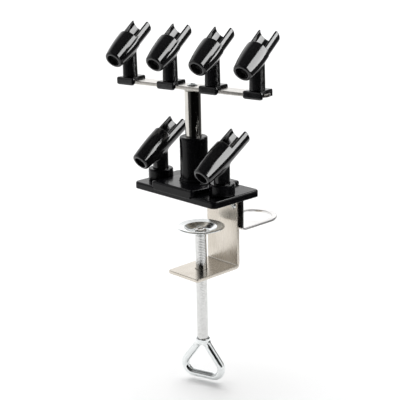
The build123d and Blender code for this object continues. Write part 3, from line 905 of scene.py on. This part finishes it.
upper_mesh = turned(field_mesh("upper_cradle", *cradle_field(**upper_cradle), cradle_step), bar_yaw)
clip_reach = bar_half_width + clip_rear_wall
clip_low = (-clip_half_width, -clip_reach, -clip_front_drop)
clip_high = (clip_half_width, clip_reach, clip_plate_thickness + clip_peg_length)
clip_mesh = turned(field_mesh("clip", clip_field, clip_low, clip_high, clip_and_socket_step), bar_yaw)
across_bar = np.array((-math.sin(bar_yaw), math.cos(bar_yaw), 0))
for number in (1, 2, 3, 4):
    cradle, clip = f"cradle_{number}", f"clip_{number}"
    seat = joint_place(f"{cradle}_swivel")
    clip_seat = seat - stem_offset_y * across_bar
    clip_seat[2] = bar_top
    piece(cradle, upper_mesh, black, cradle, [cradle], placed(seat))
    piece(clip, clip_mesh, black, clip, [clip], placed(clip_seat))

lower_mesh = field_mesh("lower_cradle", *cradle_field(**lower_cradle), cradle_step)
socket_box = (-socket_radius, -socket_radius, 0), (socket_radius, socket_radius, socket_height)
socket_mesh = field_mesh("socket", socket_field, *socket_box, clip_and_socket_step)
for side in ("left", "right"):
    cradle, socket = f"cradle_lower_{side}", f"socket_{side}"
    foot = joint_place(f"lower_{side}_swivel")
    foot[2] = base_high[2]
    cradle_foot = foot + (0, 0, lower_cradle_lift)
    piece(cradle, lower_mesh, black, cradle, [cradle], placed(cradle_foot))
    piece(socket, socket_mesh, satin, "stand", [socket], placed(foot))

pan_mesh = screw_mesh("pan_head_ring", ring_screw, small_screw_step)
ring_nut_field = hex_field(ring_nut_flats, 0, ring_nut_height, ring_nut_bore)
ring_nut_box = (-ring_nut_reach, -ring_nut_reach, 0), (ring_nut_reach, ring_nut_reach, ring_nut_height)
ring_nut_mesh = field_mesh("ring_nut", ring_nut_field, *ring_nut_box, small_screw_step)
inner_back_y = bracket_high[1] - sheet
nut_y = node_box("ring_nuts")[0][1]
for side, sign, turn in (("left", -1, 0.4), ("right", 1, 1.1)):
    spin = Matrix.Rotation(turn, 4, "Z")
    head_place = placed((sign * ring_screw_x, inner_back_y, ring_screw_z), math.pi / 2, "X") @ spin
    nut_place = placed((sign * ring_screw_x, nut_y, ring_screw_z), -math.pi / 2, "X") @ spin
    piece(f"ring_screw_{side}", pan_mesh, screw_plate, "stand", ["ring_screws"], head_place)
    piece(f"ring_nut_{side}", ring_nut_mesh, screw_plate, "stand", ["ring_nuts"], nut_place)

flat_mesh = screw_mesh("flat_head", base_screw, large_screw_step)
for number, (spot_x, spot_y) in enumerate(base_screw_spots, 1):
    place = placed((spot_x, spot_y, 0), math.pi, "X") @ Matrix.Rotation(0.8 * number, 4, "Z")
    piece(f"base_screw_{number}", flat_mesh, screw_plate, "stand", ["base_screws"], place)

bar_head = screw_mesh("bar_screw_head", bar_screw, large_screw_step)
bar_screw_place = placed((0, 0, bar_top + fit), 0.3)
piece("bar_screw", bar_head, screw_plate, "stand", ["bar_screw"], bar_screw_place)

for name, material in (("mast_plug", zinc_plate), ("bar_washer", nylon)):
    for material_slot in frame["nodes"][name].material_slots:
        material_slot.material = material


# ---------------------------------------------------------------- floor, light and camera

# metres and degrees
floor_heading = 46.5
floor_drop = 0.004
floor_half = 60.0
sheet_near = 0.44
sheet_far = 1.6
sheet_lift = 0.0005
floor_z = cad_low.z - floor_drop

camera_azimuth, camera_elevation, camera_roll = 46.52, 16.41, -1.18
camera_distance = 0.9359
camera_target = (0.00632, 0.0, -0.00288)
camera_lens = 97.4

side_box = dict(azimuth=120, elevation=21.5, distance=3.0, width=3.3, height=3.0)
high_box = dict(azimuth=157, elevation=50, distance=3.0, width=1.5, height=1.0)


def direction_of(azimuth, elevation):
    """A unit vector. Azimuth 0 is -Y and 90 is +X, in degrees."""
    a, e = math.radians(azimuth), math.radians(elevation)
    return Vector((math.sin(a) * math.cos(e), -math.cos(a) * math.cos(e), math.sin(e)))


def make_floor(name, near, far, z, seen_in_gloss):
    """A plain pale sheet, square to the view: near reaches front and right, far reaches left and back.

    The wide floor stays out of the reflections, so they show the near sheet and then the dark room.
    """
    mesh = bpy.data.meshes.new(name)
    left, behind = direction_of(floor_heading - 90, 0), direction_of(floor_heading - 180, 0)
    reach = [(-near, -near), (far, -near), (far, far), (-near, far)]
    corners = [left * a + behind * b for a, b in reach]
    mesh.from_pydata(corners, [], [(0, 1, 2, 3)])
    mesh.materials.append(pale)
    floor = bpy.data.objects.new(name, mesh)
    floor.location = (0, 0, z)
    floor.visible_glossy = seen_in_gloss
    bpy.context.scene.collection.objects.link(floor)


def world_lobe(tree, place, direction, far, near, start, end):
    """A grey level that goes from far to near as a ray comes close to a direction.

    Start and end are cosines of the angle between them.
    """
    facing = node(tree, "ShaderNodeVectorMath", operation="DOT_PRODUCT")
    facing.inputs[1].default_value = direction
    tree.links.new(place.outputs["Generated"], facing.inputs[0])
    return ramp(tree, facing.outputs["Value"], far, near, start, end)


def make_world():
    """A dim studio: pale on the left rear, a softer window on the left front, nearly black on the right."""
    world = bpy.data.worlds.new("studio")
    world.use_nodes = True
    tree = world.node_tree
    place = node(tree, "ShaderNodeTexCoord")
    left = world_lobe(tree, place, direction_of(-118, 2), far=0.07, near=1.25, start=0.50, end=0.90)
    dark = world_lobe(tree, place, direction_of(78, -10), far=1.0, near=0.03, start=0.26, end=0.62)
    window = world_lobe(tree, place, direction_of(-46, 20), far=0.0, near=0.55, start=0.80, end=0.96)
    lit = node(tree, "ShaderNodeVectorMath", operation="ADD")
    dimmed = node(tree, "ShaderNodeVectorMath", operation="MULTIPLY")
    tree.links.new(left, lit.inputs[0])
    tree.links.new(window, lit.inputs[1])
    tree.links.new(lit.outputs["Vector"], dimmed.inputs[0])
    tree.links.new(dark, dimmed.inputs[1])
    tree.links.new(dimmed.outputs["Vector"], tree.nodes["Background"].inputs["Color"])
    bpy.context.scene.world = world


def soft_light(name, azimuth, elevation, distance, width, height, power, materials):
    """A rectangular soft box that faces the object and shows only in the gloss of these materials."""
    data = bpy.data.lights.new(name, "AREA")
    data.shape = "RECTANGLE"
    data.size, data.size_y = width, height
    data.energy = power
    made = bpy.data.objects.new(name, data)
    bpy.context.scene.collection.objects.link(made)
    direction = direction_of(azimuth, elevation)
    made.location = direction * distance
    made.rotation_mode = "QUATERNION"
    made.rotation_quaternion = direction.to_track_quat("Z", "Y")
    made.visible_diffuse = False
    receivers = bpy.data.collections.new(name + "_receivers")
    for other in bpy.context.scene.objects:
        if other.type == "MESH" and any(slot.material in materials for slot in other.material_slots):
            receivers.objects.link(other)
    made.light_linking.receiver_collection = receivers


def make_sun(azimuth, elevation, strength, spread):
    """A wide overhead light that is even over the whole floor and stays out of the gloss."""
    data = bpy.data.lights.new("overhead", "SUN")
    data.energy = strength
    data.angle = spread
    made = bpy.data.objects.new("overhead", data)
    bpy.context.scene.collection.objects.link(made)
    made.rotation_mode = "QUATERNION"
    made.rotation_quaternion = direction_of(azimuth, elevation).to_track_quat("Z", "Y")
    made.visible_glossy = False


def make_camera(azimuth, elevation, roll, distance, target, lens):
    """The camera looks at the target from an azimuth and an elevation, with a small roll, in degrees."""
    back = direction_of(azimuth, elevation)
    right = direction_of(azimuth + 90, 0)
    roll = math.radians(roll)
    up = back.cross(right)
    rolled_right = right * math.cos(roll) + up * math.sin(roll)
    rolled_up = up * math.cos(roll) - right * math.sin(roll)
    data = bpy.data.cameras.new("camera")
    data.sensor_width = 36.0
    data.lens = lens
    data.clip_start, data.clip_end = 0.01, 100.0
    made = bpy.data.objects.new("camera", data)
    bpy.context.scene.collection.objects.link(made)
    rotation = Matrix((rolled_right, rolled_up, back)).transposed().to_4x4()
    made.matrix_world = Matrix.Translation(Vector(target) + back * distance) @ rotation
    bpy.context.scene.camera = made


pale, pale_tree, pale_shader = new_material("pale_floor", 0.0, 0.2)
pale_colour = ramp(pale_tree, noise(pale_tree, 3.0), (0.90, 0.90, 0.90), (0.93, 0.93, 0.93))
pale_tree.links.new(pale_colour, pale_shader.inputs["Base Color"])
pale_tree.links.new(ramp(pale_tree, noise(pale_tree, 40.0), 0.85, 0.95), pale_shader.inputs["Roughness"])
make_floor("floor", floor_half, floor_half, floor_z, False)
make_floor("near_sheet", sheet_near, sheet_far, floor_z + sheet_lift, True)
make_world()
make_sun(azimuth=-120, elevation=72, strength=3.35, spread=math.radians(80))
calm_set = [satin, nickel, ring_nickel, zinc_plate, rod_zinc, screw_plate, chrome, bar_steel, nylon]
soft_light("right_rear_softbox", **side_box, power=340.0, materials=[black])
soft_light("calm_softbox", **side_box, power=26.0, materials=calm_set)
soft_light("edge_softbox", **high_box, power=52.0, materials=[satin])
make_camera(camera_azimuth, camera_elevation, camera_roll, camera_distance, camera_target, camera_lens)
bpy.context.scene.view_settings.view_transform = "Standard"
